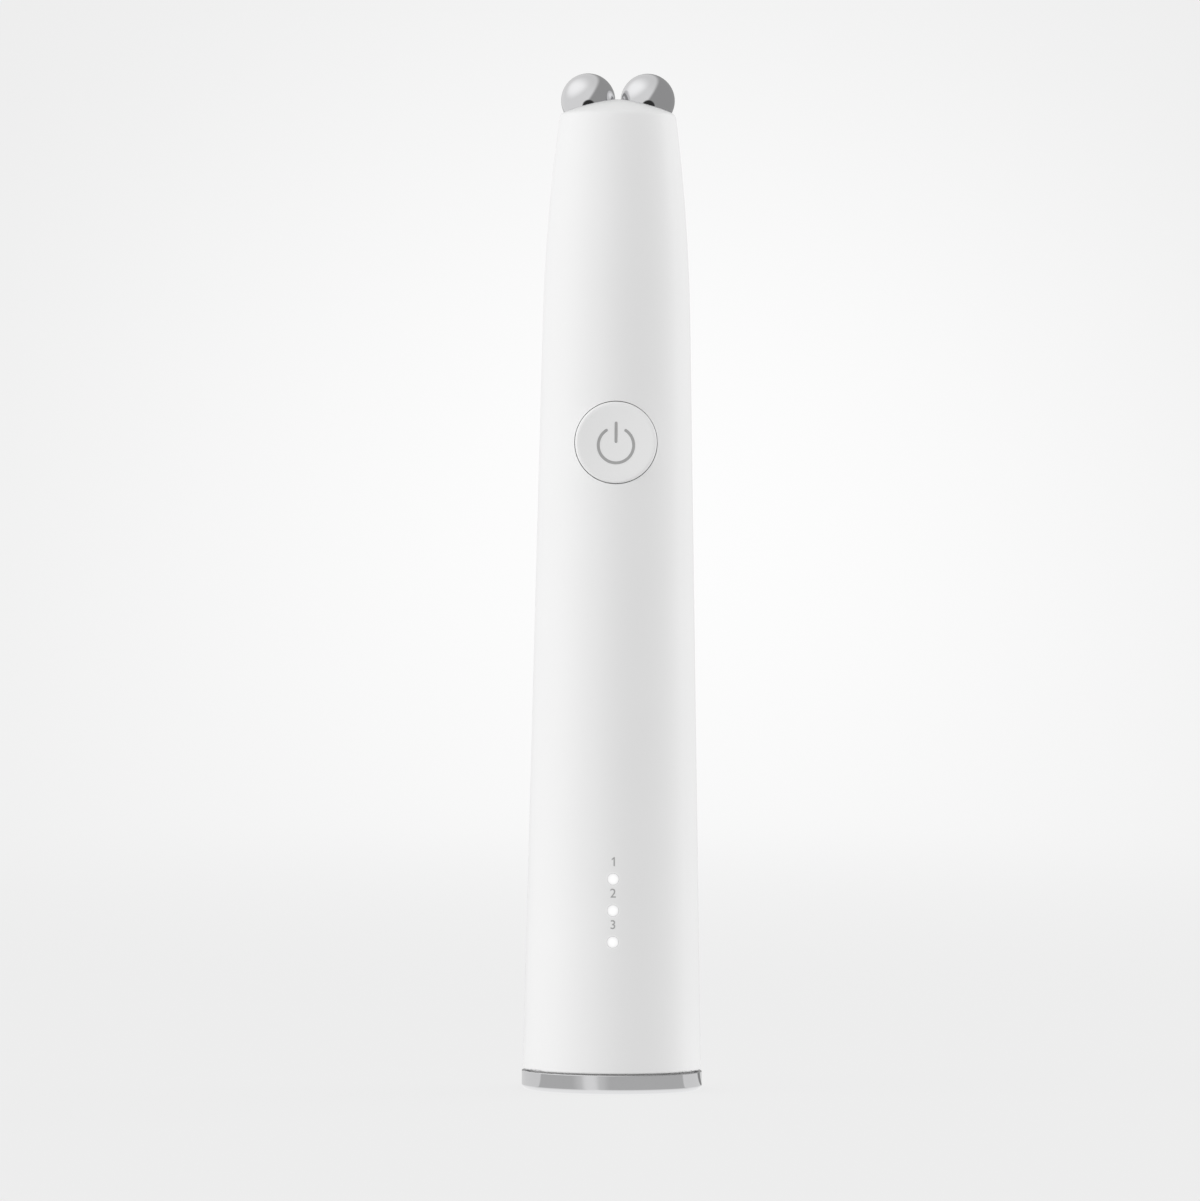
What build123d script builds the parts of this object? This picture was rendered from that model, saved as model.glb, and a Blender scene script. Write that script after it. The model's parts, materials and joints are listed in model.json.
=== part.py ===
from build123d import *

import os
from math import hypot, pi, radians, sqrt, tan

# A slim hand-held facial toning wand: a white two-part shell on a polished base ring, a round
# power button, three mode lamps and two chromed ball electrodes at the tip.
# Millimetres. Z runs up the wand from its resting face, the front of the wand faces -Y, and the
# two balls stand side by side along X. A "depth" is a distance from the wand's axis towards -Y.

# ---- driving dimensions ------------------------------------------------------------------
# clearances
fit_gap = 0.05              # between pieces that are seated on each other
slide_gap = 0.10            # round a piece that slides, and in front of its stop
loose_gap = 0.30            # round a piece that is only trapped

# base ring and the height of the shell's foot
ring_height = 2.73
ring_seam = 0.22            # visible gap between ring and shell
ring_proud = 0.15
ring_step = 0.95            # from the shell's outside in to the bore of the ring
ring_lip_depth = 0.70
ring_lip_thickness = 0.70
ring_foot_fillet = 0.70
ring_top_fillet = 0.10

# outline of the shell
body_foot_radius = 13.15
taper_length = 110.05
taper_end_radius = 10.90
shoulder_length = 30.85
crown_edge_radius = 8.55
crown_rise = 2.30
crown_edge_fillet = 0.90
body_foot_fillet = 0.25
wall = 1.80
crown_thickness = 5.75

# seam between the two shells
seam_lip_height = 1.00
seam_lip_thickness = 0.80
seam_groove_width = 0.12
seam_groove_depth = 0.15

# base cap, its screws and the foot pad
cap_low_z = 0.25
cap_flange_thickness = 0.70
cap_thickness = 3.30
cap_web = 1.30
cap_rim = 1.20
cap_boss_wall = 0.80
pad_thickness = 0.58
pad_edge = 1.20             # from the rim of the cap in to the pad
base_screw_inset = 2.60     # from the inside of the shell to the axis of a base screw
base_screw_y = -1.50
base_screw_length = 7.00

# small screws
screw_radius = 0.80
screw_head_radius = 1.40
screw_head_height = 0.80
screw_socket_radius = 0.70
screw_socket_depth = 0.45

# ball electrodes
ball_radius = 4.00
ball_pitch = 8.80
ball_proud = 3.85           # from the crown's top to the top of the balls
stem_radius = 1.00
stem_tail = 0.60            # length of stem that shows below the nut
carrier_thickness = 2.95
seal_height = 0.75
seal_width = 0.90
seal_fillet = 0.18
terminal_thickness = 0.40
terminal_margin = 1.10
terminal_reach = 4.60
barrel_radius = 0.80
barrel_length = 3.00
nut_across_flats = 4.00
nut_height = 1.60
electrode_lead_radius = 0.45
electrode_lead_inset = 0.60
electrode_lead_run = 3.60    # straight in to the back of the main board

# power button
button_radius = 6.00
button_proud = 0.15         # rim of its face above the crest of the shell
button_edge_fillet = 0.40
button_rim = 0.65
button_dish_depth = 0.27
button_face_thickness = 1.20
button_skirt_wall = 1.20
button_nub_radius = 1.50
button_nub_height = 0.40
button_flange_width = 0.50
button_flange_thickness = 0.60
button_travel = 0.30
button_seal_thickness = 0.50
collar_wall = 1.00

# tactile switch under the button
switch_width = 6.00
switch_height = 2.00
switch_floor = 0.80
switch_cover_thickness = 0.30
plunger_radius = 1.70
plunger_proud = 0.95        # above the cover of the switch
plunger_foot_radius = 2.10
plunger_foot_thickness = 0.40

# main board
board_thickness = 1.00
board_edge_gap = 0.45
board_corner = 1.00
board_end = 1.00            # from the end of the board to the nearest chassis bar
board_screw_x = 4.20
board_screw_length = 3.60
board_top_margin = 4.00

# mode lamps
lamp_count = 3
lamp_pitch = 4.60
lamp_radius = 0.83
lamp_above_screw = 7.20
led_width = 1.60
led_length = 0.80
led_height = 0.60
shroud_width = 3.80
shroud_margin = 2.00
shroud_height = 2.80
shroud_wall = 0.80
guide_width = 4.80
guide_margin = 2.20

# parts on the front of the main board
chip_width = 7.00
chip_height = 0.90
inductor_width = 5.00
inductor_height = 2.80
inductor_corner = 1.00
front_part_gap = 5.00
capacitor_radius = 1.50
capacitor_height = 2.60
capacitor_x = 3.20
small_part_count = 5
small_part_width = 1.00
small_part_length = 2.00
small_part_height = 0.50
small_part_pitch = 2.00

# parts on the back of the main board
connector_width = 6.00
connector_height = 6.50
connector_depth = 3.20
connector_gap = 2.40
sounder_radius = 4.50
sounder_depth = 3.00
sounder_gap = 1.00
transformer_width = 8.00
transformer_length = 7.00
transformer_depth = 4.60
core_thickness = 1.20
transformer_gap = 1.80
upper_bar_gap = 2.15

# battery
cell_length = 42.40
cell_front_gap = 0.20
cell_back_room = 0.78       # from the cell to the back of the shell at its upper end
cell_nub_radius = 3.00
cell_nub_height = 0.60
tab_thickness = 0.20
tab_width = 4.00
battery_lead_radius = 0.50
battery_lead_x = 4.60
battery_lead_wall_gap = 0.30
battery_lead_pitch = 2.40
battery_lead_bend = 3.00
battery_lead_rise = 2.50    # from the connector up to the first bend
pad_width = 8.00
pad_length = 22.00

# inner chassis
chassis_gap = 0.15
rail_inner_x = 5.60
chassis_half_depth = 5.20
bar_height = 4.00
bar_depth = 3.00
stop_height = 2.20
stop_front = 1.00           # in front of the axis of the cell
stop_above_connector = 4.80
chassis_above_board = 4.00

# charging port and its board
port_width = 8.94
port_thickness = 3.26
port_length = 7.30
port_skin = 0.30
port_recess = 0.70          # from the underside of the cap to the mouth of the port
port_clearance = 0.17
port_tongue_width = 6.20
port_tongue_thickness = 0.70
port_tongue_recess = 0.65
port_block_length = 1.00
board_above_port = 3.75
charge_board_width = 15.00
charge_board_height = 12.40
charge_board_thickness = 1.00
charge_chip_width = 4.00
charge_lead_radius = 0.40
charge_lead_pitch = 4.00
charge_lead_above_bar = 2.60
charge_lead_room = 1.80
charge_lead_margin = 1.60

# leads
bend_share = 0.45           # of the shorter run beside a bend, taken up by its arc

SIDES = (-1, 1)
tolerance = 0.001           # for picking an edge by its size and place


# ---- outline of the shell ----------------------------------------------------------------
body_foot_z = ring_height + ring_seam
taper_end_z = body_foot_z + taper_length
crown_edge_z = taper_end_z + shoulder_length
crown_top_z = crown_edge_z + crown_rise
ceiling_z = crown_top_z - crown_thickness
taper_slope = (body_foot_radius - taper_end_radius) / taper_length


def shoulder_arc():
    """Centre (radius, z) and radius of the arc that leaves the taper and ends at the crown."""
    length = hypot(taper_slope, 1)
    normal = (-1 / length, -taper_slope / length)
    run = (crown_edge_radius - taper_end_radius, shoulder_length)
    arc_radius = (run[0] ** 2 + run[1] ** 2) / (2 * (run[0] * normal[0] + run[1] * normal[1]))
    centre = (taper_end_radius + arc_radius * normal[0], taper_end_z + arc_radius * normal[1])
    return centre, arc_radius


shoulder_centre, shoulder_radius = shoulder_arc()


def outer_radius(z):
    """Radius of the shell's outside at a height."""
    if z <= taper_end_z:
        return body_foot_radius - taper_slope * (z - body_foot_z)
    return shoulder_centre[0] + sqrt(shoulder_radius ** 2 - (z - shoulder_centre[1]) ** 2)


def cavity_radius(z):
    """Radius of the shell's inside at a height."""
    return outer_radius(z) - wall


# ---- places that follow from the sizes ---------------------------------------------------
# base
ring_radius = body_foot_radius + ring_proud
ring_bore_radius = body_foot_radius - ring_step
ring_lip_radius = ring_bore_radius - ring_lip_depth
cap_flange_top_z = cap_low_z + cap_flange_thickness
ring_lip_low_z = cap_flange_top_z + fit_gap
ring_lip_high_z = ring_lip_low_z + ring_lip_thickness
spigot_low_z = ring_lip_high_z + fit_gap
spigot_radius = ring_bore_radius - fit_gap
cap_flange_radius = ring_bore_radius - slide_gap
cap_top_z = cap_low_z + cap_thickness
cap_plug_radius = cavity_radius(cap_top_z) - fit_gap
pad_radius = cap_flange_radius - pad_edge
pad_recess_z = pad_thickness + fit_gap
base_screw_x = cavity_radius(cap_top_z) - base_screw_inset

# charging port and board
port_low_z = cap_low_z + port_recess
port_high_z = port_low_z + port_length
chassis_low_z = cap_top_z + chassis_gap
charge_board_front_y = port_thickness / 2
charge_board_back_y = charge_board_front_y + charge_board_thickness
charge_board_low_z = chassis_low_z + slide_gap
charge_board_high_z = charge_board_low_z + charge_board_height
charge_lead_low_z = charge_board_high_z - charge_lead_margin

# heights along the back of the main board, from the bottom up
board_low_z = port_high_z + board_above_port
lower_bar_low_z = board_low_z + board_end
lower_bar_high_z = lower_bar_low_z + bar_height
charge_lead_high_z = lower_bar_high_z + charge_lead_above_bar
connector_low_z = charge_lead_high_z + connector_gap
connector_high_z = connector_low_z + connector_height
lower_stop_low_z = connector_high_z + stop_above_connector
lower_stop_high_z = lower_stop_low_z + stop_height
cell_low_z = lower_stop_high_z + loose_gap + tab_thickness
cell_high_z = cell_low_z + cell_length
upper_tab_low_z = cell_high_z + cell_nub_height
upper_stop_low_z = upper_tab_low_z + tab_thickness + loose_gap
upper_stop_high_z = upper_stop_low_z + stop_height
sounder_z = upper_stop_high_z + sounder_gap + sounder_radius
transformer_low_z = sounder_z + sounder_radius + transformer_gap
transformer_high_z = transformer_low_z + transformer_length
upper_bar_low_z = transformer_high_z + upper_bar_gap
upper_bar_high_z = upper_bar_low_z + bar_height
board_high_z = upper_bar_high_z + board_top_margin
electrode_lead_end_z = (upper_bar_high_z + board_high_z) / 2
chassis_top_z = board_high_z + chassis_above_board
board_screw_heights = [lower_bar_low_z + bar_height / 2, upper_bar_low_z + bar_height / 2]

# depths of the button stack, from the face down to the main board
button_bore_radius = button_radius + slide_gap
button_flange_radius = button_radius + button_flange_width
pocket_radius = button_flange_radius + 2 * slide_gap
collar_radius = pocket_radius + collar_wall
button_z = board_screw_heights[1] - collar_radius - screw_head_radius - loose_gap
button_face = outer_radius(button_z) + button_proud
button_inside = button_face - button_dish_depth - button_face_thickness
nub_back = button_inside - button_nub_height
plunger_front = nub_back - slide_gap
cover_front = plunger_front - plunger_proud
switch_front = cover_front - switch_cover_thickness
board_front = switch_front - switch_height
board_back = board_front - board_thickness
plunger_back = board_front + switch_floor + button_travel + slide_gap
button_flange_back = board_front + button_travel + loose_gap
button_flange_front = button_flange_back + button_flange_thickness
seal_back = button_flange_front + fit_gap
seal_front = seal_back + button_seal_thickness
collar_back = board_front + loose_gap
board_half_width = sqrt(cavity_radius(board_high_z) ** 2 - board_front ** 2) - board_edge_gap

# front of the main board
lamp_low_z = board_screw_heights[0] + lamp_above_screw
lamp_heights = [lamp_low_z + lamp_pitch * n for n in range(lamp_count)]
shroud_front = board_front + shroud_height
shroud_high_z = lamp_heights[-1] + shroud_margin
guide_back = shroud_front + fit_gap
guide_tail = board_front + led_height + loose_gap
inductor_z = shroud_high_z + front_part_gap + inductor_width / 2
capacitor_z = inductor_z + inductor_width / 2 + front_part_gap
chip_z = capacitor_z + capacitor_radius + front_part_gap + chip_width / 2

# battery
cell_front = board_back - cell_front_gap
cell_back = cavity_radius(cell_high_z) - cell_back_room
cell_radius = (cell_front + cell_back) / 2
cell_centre_y = (cell_back - cell_front) / 2
battery_lead_depth = board_back - battery_lead_radius - battery_lead_wall_gap

# electrodes
ball_z = crown_top_z + ball_proud - ball_radius
carrier_top_z = ceiling_z - fit_gap
carrier_low_z = carrier_top_z - carrier_thickness
nut_top_z = carrier_low_z - terminal_thickness
nut_low_z = nut_top_z - nut_height
stem_low_z = nut_low_z - stem_tail
barrel_low_z = nut_top_z - barrel_length
electrode_lead_turn_z = (barrel_low_z + chassis_top_z) / 2
seal_pocket_z = carrier_top_z - seal_height - fit_gap
seal_radius = stem_radius + fit_gap + seal_width


# ---- building blocks ---------------------------------------------------------------------
def block(x, y, z):
    """A box between the low and high ends given for each axis."""
    size = Box(x[1] - x[0], y[1] - y[0], z[1] - z[0])
    return Pos((x[0] + x[1]) / 2, (y[0] + y[1]) / 2, (z[0] + z[1]) / 2) * size


def front_block(half_width, depth, z):
    """A box that is centred on x = 0 and reaches between two depths."""
    return block((-half_width, half_width), (-max(depth), -min(depth)), z)


def post(radius, z, x=0, y=0):
    """A cylinder along Z between two heights."""
    return Pos(x, y, (z[0] + z[1]) / 2) * Cylinder(radius, z[1] - z[0])


def stud(radius, depth, x=0, z=0):
    """A cylinder along Y between two depths."""
    length = abs(depth[1] - depth[0])
    return Pos(x, -(depth[0] + depth[1]) / 2, z) * Rot(90, 0, 0) * Cylinder(radius, length)


def slot_post(width, thickness, z):
    """A straight-sided slot with round ends, drawn across X, between two heights."""
    return Pos(0, 0, z[0]) * extrude(SlotOverall(width, thickness), z[1] - z[0])


def revolved(*edges):
    """A solid of revolution about Z of a closed outline of (radius, z) edges."""
    return revolve(Plane.YZ * make_face(list(edges)), Axis.Z)


def lead(points, radius):
    """A round lead of straight runs and tangent arcs as large as the runs allow."""
    vectors = [Vector(*point) for point in points]
    runs = [end - start for start, end in zip(vectors, vectors[1:])]
    radii = []
    for before, after in zip(runs, runs[1:]):
        half_turn = radians(before.get_angle(after)) / 2
        radii.append(bend_share * min(before.length, after.length) / tan(half_turn))
    print("lead radii", [round(bend, 2) for bend in radii])
    path = FilletPolyline(*points, radius=radii)
    start = Plane(origin=vectors[0], z_dir=runs[0])
    tube = sweep(start * Circle(radius), path=path)
    fullness = tube.volume / (pi * radius ** 2 * path.length)
    print("lead volume over section x length", round(fullness, 4))
    return tube


def outline_edges(inset, low_z, high_z):
    """Edges from the axis out, up the taper and the shoulder, and back to the axis."""
    middle_z = (taper_end_z + high_z) / 2
    foot = (outer_radius(low_z) - inset, low_z)
    bend = (taper_end_radius - inset, taper_end_z)
    middle = (outer_radius(middle_z) - inset, middle_z)
    top = (outer_radius(high_z) - inset, high_z)
    return foot, top, [
        Line((0, low_z), foot),
        Line(foot, bend),
        ThreePointArc(bend, middle, top),
    ]


def body_solid(inset=0.0):
    """Everything inside the shell's outer surface, or inside a surface set in from it."""
    foot, top, edges = outline_edges(inset, body_foot_z, crown_edge_z - inset)
    apex = (0, crown_top_z - inset)
    crown = TangentArc(apex, top, tangent=(1, 0))
    return revolved(*edges, crown, Line(apex, (0, body_foot_z)))


def cavity_solid(clearance=0.0, low_z=0.0):
    """Everything inside the shell's inner surface, less a clearance all round."""
    foot, top, edges = outline_edges(wall + clearance, low_z, ceiling_z)
    return revolved(*edges, Line(top, (0, ceiling_z)), Line((0, ceiling_z), (0, low_z)))


def within_cavity(piece, clearance):
    """The part of a piece that fits inside the shell."""
    return piece & cavity_solid(clearance)


def front_plane(depth):
    """The plane at a depth that faces the front, with its own X along X and its Y up the wand."""
    return Plane(origin=(0, -depth, 0), x_dir=(1, 0, 0), z_dir=(0, -1, 0))


def rim(solid, radius, centre):
    """The round edges of a solid with the given radius and centre."""
    def matches(edge):
        if edge.geom_type != GeomType.CIRCLE:
            return False
        return abs(edge.radius - radius) < tolerance and (edge.arc_center - centre).length < tolerance
    return solid.edges().filter_by(matches)


def screw(seat, length):
    """A socket-head screw whose head bears on the plane called seat and whose shank goes along it."""
    head = Pos(0, 0, -screw_head_height / 2) * Cylinder(screw_head_radius, screw_head_height)
    shank = Pos(0, 0, length / 2) * Cylinder(screw_radius, length)
    socket = extrude(RegularPolygon(screw_socket_radius, 6), screw_socket_depth)
    return seat * (head + shank - Pos(0, 0, -screw_head_height) * socket)


def group(pieces):
    """Several separate solids in one node."""
    return Compound(children=list(pieces))


def base_screw_posts(radius, z):
    """A post on the axis of each base screw."""
    return [post(radius, z, side * base_screw_x, base_screw_y) for side in SIDES]


def board_screw_studs(radius, depth):
    """A stud on the axis of each board screw."""
    return [stud(radius, depth, side * board_screw_x, z) for side in SIDES for z in board_screw_heights]


def electrode_posts(radius, z):
    """A post on the axis of each ball electrode."""
    return [post(radius, z, side * ball_pitch / 2) for side in SIDES]


# ---- casing ------------------------------------------------------------------------------
def casing():
    """The whole casing with its ball sockets, before it is parted into two shells."""
    solid = body_solid()
    solid = fillet(rim(solid, crown_edge_radius, Vector(0, 0, crown_edge_z)), crown_edge_fillet)
    solid = fillet(rim(solid, body_foot_radius, Vector(0, 0, body_foot_z)), body_foot_fillet)
    solid += post(spigot_radius, (spigot_low_z, body_foot_z + wall))
    solid -= cavity_solid()
    solid -= [Pos(side * ball_pitch / 2, 0, ball_z) * Sphere(ball_radius + fit_gap) for side in SIDES]
    return solid - electrode_posts(stem_radius + slide_gap, (carrier_low_z, ball_z))


def half_space(y_from, y_to, low_z=0.0, high_z=crown_top_z):
    """A slab across the whole width of the wand."""
    return block((-ring_radius, ring_radius), (y_from, y_to), (low_z, high_z))


def seam_groove():
    """The fine line that shows where the two shells meet, as a slab round what it leaves whole."""
    slab = half_space(-seam_groove_width / 2, seam_groove_width / 2, 0, crown_top_z + ball_radius)
    foot = post(body_foot_radius - seam_groove_depth, (0, body_foot_z + wall))
    return slab - (body_solid(seam_groove_depth) + foot)


def shell_half(y_from, y_to):
    """The casing between two planes, with its side of the groove along the seam."""
    return (casing() & half_space(y_from, y_to)) - seam_groove()


def seam_lip(clearance):
    """The lip of the rear shell that fits inside the edge of the front shell."""
    reach = seam_lip_height + clearance
    zone = cavity_solid(-seam_lip_thickness - clearance) - cavity_solid()
    return zone & half_space(-reach, 0, body_foot_z + body_foot_fillet + wall, ceiling_z)


def front_shell():
    shell = shell_half(-ring_radius, 0) - seam_lip(fit_gap)
    collar = stud(collar_radius, (collar_back, button_face), z=button_z)
    shell += collar & body_solid(wall / 2)
    shell -= stud(button_bore_radius, (0, button_face), z=button_z)
    shell -= stud(pocket_radius, (0, seal_front), z=button_z)
    for lamp_z in lamp_heights:
        shell -= stud(lamp_radius + fit_gap, (0, body_foot_radius), z=lamp_z)
    return shell


def rear_shell():
    return shell_half(0, ring_radius) + seam_lip(0)


# ---- base --------------------------------------------------------------------------------
def base_ring():
    ring = post(ring_radius, (0, ring_height))
    ring -= post(ring_bore_radius, (0, ring_lip_low_z))
    ring -= post(ring_lip_radius, (0, ring_height))
    ring -= post(ring_bore_radius, (ring_lip_high_z, ring_height))
    ring = fillet(rim(ring, ring_radius, Vector(0, 0, 0)), ring_foot_fillet)
    return fillet(rim(ring, ring_radius, Vector(0, 0, ring_height)), ring_top_fillet)


def port_slot(margin, z):
    """The outline of the charging port, grown by a margin all round."""
    return slot_post(port_width + 2 * margin, port_thickness + 2 * margin, z)


def base_cap():
    web_top_z = pad_recess_z + cap_web
    head_top_z = pad_recess_z + screw_head_height
    cap = post(cap_flange_radius, (cap_low_z, cap_flange_top_z))
    cap += post(cap_plug_radius, (cap_flange_top_z, cap_top_z))
    core = post(cap_plug_radius - cap_rim, (web_top_z, cap_top_z))
    core -= port_slot(port_clearance + cap_boss_wall, (web_top_z, cap_top_z))
    core -= base_screw_posts(screw_radius + fit_gap + cap_boss_wall, (web_top_z, cap_top_z))
    cap -= core
    cap -= post(pad_radius + fit_gap, (0, pad_recess_z))
    cap -= port_slot(port_clearance, (0, cap_top_z))
    cap -= base_screw_posts(screw_radius + fit_gap, (0, cap_top_z))
    return cap - base_screw_posts(screw_head_radius + slide_gap, (0, head_top_z))


def base_screws():
    seat_z = pad_recess_z + screw_head_height
    seats = [Plane(origin=(side * base_screw_x, base_screw_y, seat_z)) for side in SIDES]
    return group(screw(seat, base_screw_length) for seat in seats)


def foot_pad():
    pad = post(pad_radius, (0, pad_thickness))
    return pad - port_slot(port_clearance + loose_gap, (0, pad_thickness))


# ---- charging port -----------------------------------------------------------------------
def charge_port():
    shell = port_slot(0, (port_low_z, port_high_z))
    return shell - port_slot(-port_skin, (port_low_z, port_high_z))


def port_tongue():
    block_low_z = port_high_z - port_block_length
    back = port_slot(-port_skin - fit_gap, (block_low_z, port_high_z))
    half_thickness = port_tongue_thickness / 2
    heights = (port_low_z + port_tongue_recess, block_low_z)
    return back + front_block(port_tongue_width / 2, (-half_thickness, half_thickness), heights)


def charge_board():
    depth = (-charge_board_back_y, -charge_board_front_y)
    return front_block(charge_board_width / 2, depth, (charge_board_low_z, charge_board_high_z))


def charge_chip():
    half_width = charge_chip_width / 2
    middle_z = (port_high_z + charge_board_high_z) / 2
    depth = (-charge_board_back_y - chip_height, -charge_board_back_y)
    return front_block(half_width, depth, (middle_z - half_width, middle_z + half_width))


def charge_leads():
    bend_y = charge_board_front_y - charge_lead_room - charge_lead_radius
    leads = []
    for side in SIDES:
        x = side * charge_lead_pitch / 2
        leads.append(lead([
            (x, charge_board_front_y, charge_lead_low_z),
            (x, bend_y, charge_lead_low_z),
            (x, bend_y - charge_lead_radius, charge_lead_high_z),
            (x, -board_back, charge_lead_high_z),
        ], charge_lead_radius))
    return group(leads)


# ---- chassis -----------------------------------------------------------------------------
def chassis_bar(y, z):
    """A bar between the two rails of the chassis."""
    return block((-rail_inner_x, rail_inner_x), y, z)


def inner_chassis():
    rear_y = chassis_half_depth
    tie_y = rear_y - stop_height
    stop_y = cell_centre_y - stop_front
    frame = block((-ring_radius, ring_radius), (-board_back, rear_y), (chassis_low_z, chassis_top_z))
    frame -= chassis_bar((-ring_radius, ring_radius), (chassis_low_z, chassis_top_z))
    for low_z in (lower_bar_low_z, upper_bar_low_z):
        frame += chassis_bar((-board_back, bar_depth - board_back), (low_z, low_z + bar_height))
    for low_z in (lower_stop_low_z, upper_stop_low_z):
        frame += chassis_bar((stop_y, rear_y), (low_z, low_z + stop_height))
    for low_z in (chassis_low_z, chassis_top_z - stop_height):
        frame += chassis_bar((tie_y, rear_y), (low_z, low_z + stop_height))
    frame -= post(cell_radius + slide_gap, (lower_stop_high_z, upper_stop_low_z), y=cell_centre_y)
    board_half_slot = charge_board_width / 2 + slide_gap
    frame -= block(
        (-board_half_slot, board_half_slot),
        (charge_board_front_y - slide_gap, charge_board_back_y + slide_gap),
        (chassis_low_z, charge_board_high_z + slide_gap),
    )
    frame = within_cavity(frame, chassis_gap)
    pilot_radius = screw_radius + fit_gap
    pilot_top_z = pad_recess_z + screw_head_height + base_screw_length + loose_gap
    pilot_end = board_front - board_screw_length - loose_gap
    frame -= base_screw_posts(pilot_radius, (chassis_low_z, pilot_top_z))
    return frame - board_screw_studs(pilot_radius, (pilot_end, board_front))


# ---- main board --------------------------------------------------------------------------
def main_board():
    outline = RectangleRounded(2 * board_half_width, board_high_z - board_low_z, board_corner)
    placed = front_plane(board_back) * Pos(0, (board_low_z + board_high_z) / 2) * outline
    board = extrude(placed, board_thickness)
    return board - board_screw_studs(screw_radius + fit_gap, (board_back, board_front))


def board_screws():
    seats = [
        Plane(origin=(side * board_screw_x, -board_front, screw_z), z_dir=(0, 1, 0))
        for side in SIDES for screw_z in board_screw_heights
    ]
    return group(screw(seat, board_screw_length) for seat in seats)


def on_board_front(width, length, height, x, z):
    """A flat part on the front of the main board."""
    part = front_block(width / 2, (board_front, board_front + height), (z - length / 2, z + length / 2))
    return Pos(x, 0, 0) * part


def control_chip():
    return on_board_front(chip_width, chip_width, chip_height, 0, chip_z)


def boost_coil():
    coil = on_board_front(inductor_width, inductor_width, inductor_height, 0, inductor_z)
    return fillet(coil.edges().filter_by(Axis.Y), inductor_corner)


def capacitors():
    depth = (board_front, board_front + capacitor_height)
    return group(stud(capacitor_radius, depth, side * capacitor_x, capacitor_z) for side in SIDES)


def small_board_parts():
    row_z = chip_z + chip_width / 2 + front_part_gap
    places = [(n - (small_part_count - 1) / 2) * small_part_pitch for n in range(small_part_count)]
    size = (small_part_width, small_part_length, small_part_height)
    return group(on_board_front(*size, x, row_z) for x in places)


def sounder():
    return stud(sounder_radius, (board_back - sounder_depth, board_back), z=sounder_z)


def on_board_back(half_width, thickness, z):
    """A flat part on the back of the main board."""
    return front_block(half_width, (board_back - thickness, board_back), z)


def transformer_frame(margin):
    """The block of the transformer's core, less a margin along X and Z."""
    heights = (transformer_low_z + margin, transformer_high_z - margin)
    return on_board_back(transformer_width / 2 - margin, transformer_depth, heights)


def transformer_core():
    return transformer_frame(0) - transformer_frame(core_thickness)


def transformer_winding():
    low_z = transformer_low_z + core_thickness + fit_gap
    high_z = transformer_high_z - core_thickness - fit_gap
    radius = transformer_depth / 2 - fit_gap
    return post(radius, (low_z, high_z), y=transformer_depth / 2 - board_back)


def battery_connector():
    return on_board_back(connector_width / 2, connector_depth, (connector_low_z, connector_high_z))


# ---- battery -----------------------------------------------------------------------------
def battery_cell():
    cell = post(cell_radius, (cell_low_z, cell_high_z), y=cell_centre_y)
    return cell + post(cell_nub_radius, (cell_high_z, upper_tab_low_z), y=cell_centre_y)


def battery_tab(side, low_z):
    """A strip from the middle of the cell to the front, with an arm out to its lead."""
    z = (low_z, low_z + tab_thickness)
    front_y = -battery_lead_depth - battery_lead_radius
    strip = block((-tab_width / 2, tab_width / 2), (front_y, cell_centre_y + tab_width / 2), z)
    arm_x = sorted((0, side * (battery_lead_x + battery_lead_radius)))
    return strip + block(arm_x, (front_y, 2 * battery_lead_radius + front_y), z)


def battery_tabs():
    return group([battery_tab(1, upper_tab_low_z), battery_tab(-1, cell_low_z - tab_thickness)])


def battery_lead(side, tab_low_z):
    y = -battery_lead_depth
    low_bend_z = connector_high_z + battery_lead_rise
    return lead([
        (side * battery_lead_x, y, tab_low_z),
        (side * battery_lead_x, y, low_bend_z + battery_lead_bend),
        (side * battery_lead_pitch / 2, y, low_bend_z),
        (side * battery_lead_pitch / 2, y, connector_high_z),
    ], battery_lead_radius)


def battery_pad():
    middle_z = (cell_low_z + cell_high_z) / 2
    heights = (middle_z - pad_length / 2, middle_z + pad_length / 2)
    pad = within_cavity(front_block(pad_width / 2, (-ring_radius, -cell_centre_y), heights), fit_gap)
    return pad - post(cell_radius + fit_gap, (cell_low_z, cell_high_z), y=cell_centre_y)


# ---- lamps -------------------------------------------------------------------------------
def indicator_leds():
    return group(on_board_front(led_width, led_length, led_height, 0, lamp_z) for lamp_z in lamp_heights)


def lamp_shroud():
    heights = (lamp_heights[0] - shroud_margin, shroud_high_z)
    shroud = front_block(shroud_width / 2, (board_front, shroud_front), heights)
    for lamp_z in lamp_heights:
        shroud -= stud(shroud_width / 2 - shroud_wall, (board_front, shroud_front), z=lamp_z)
    return shroud


def light_guide():
    """A bar inside the shell with one pin to each lamp hole, flush with the shell's outside."""
    heights = (lamp_heights[0] - guide_margin, lamp_heights[-1] + guide_margin)
    guide = within_cavity(front_block(guide_width / 2, (guide_back, body_foot_radius), heights), fit_gap)
    for lamp_z in lamp_heights:
        guide += stud(lamp_radius, (guide_tail, body_foot_radius), z=lamp_z) & body_solid()
    return guide


# ---- power button ------------------------------------------------------------------------
def power_button():
    face = Vector(0, -button_face, button_z)
    button = stud(button_radius, (button_flange_back, button_face), z=button_z)
    button = fillet(rim(button, button_radius, face), button_edge_fillet)
    button += stud(button_flange_radius, (button_flange_back, button_flange_front), z=button_z)
    button -= stud(button_radius - button_skirt_wall, (button_flange_back, button_inside), z=button_z)
    button += stud(button_nub_radius, (nub_back, button_inside), z=button_z)
    dish_edge = button_radius - button_rim
    dish_radius = (dish_edge ** 2 + button_dish_depth ** 2) / (2 * button_dish_depth)
    dish_depth = button_face - button_dish_depth + dish_radius
    return button - Pos(0, -dish_depth, button_z) * Sphere(dish_radius)


def button_seal():
    depth = (seal_back, seal_front)
    return stud(pocket_radius - fit_gap, depth, z=button_z) - stud(button_bore_radius, depth, z=button_z)


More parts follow.
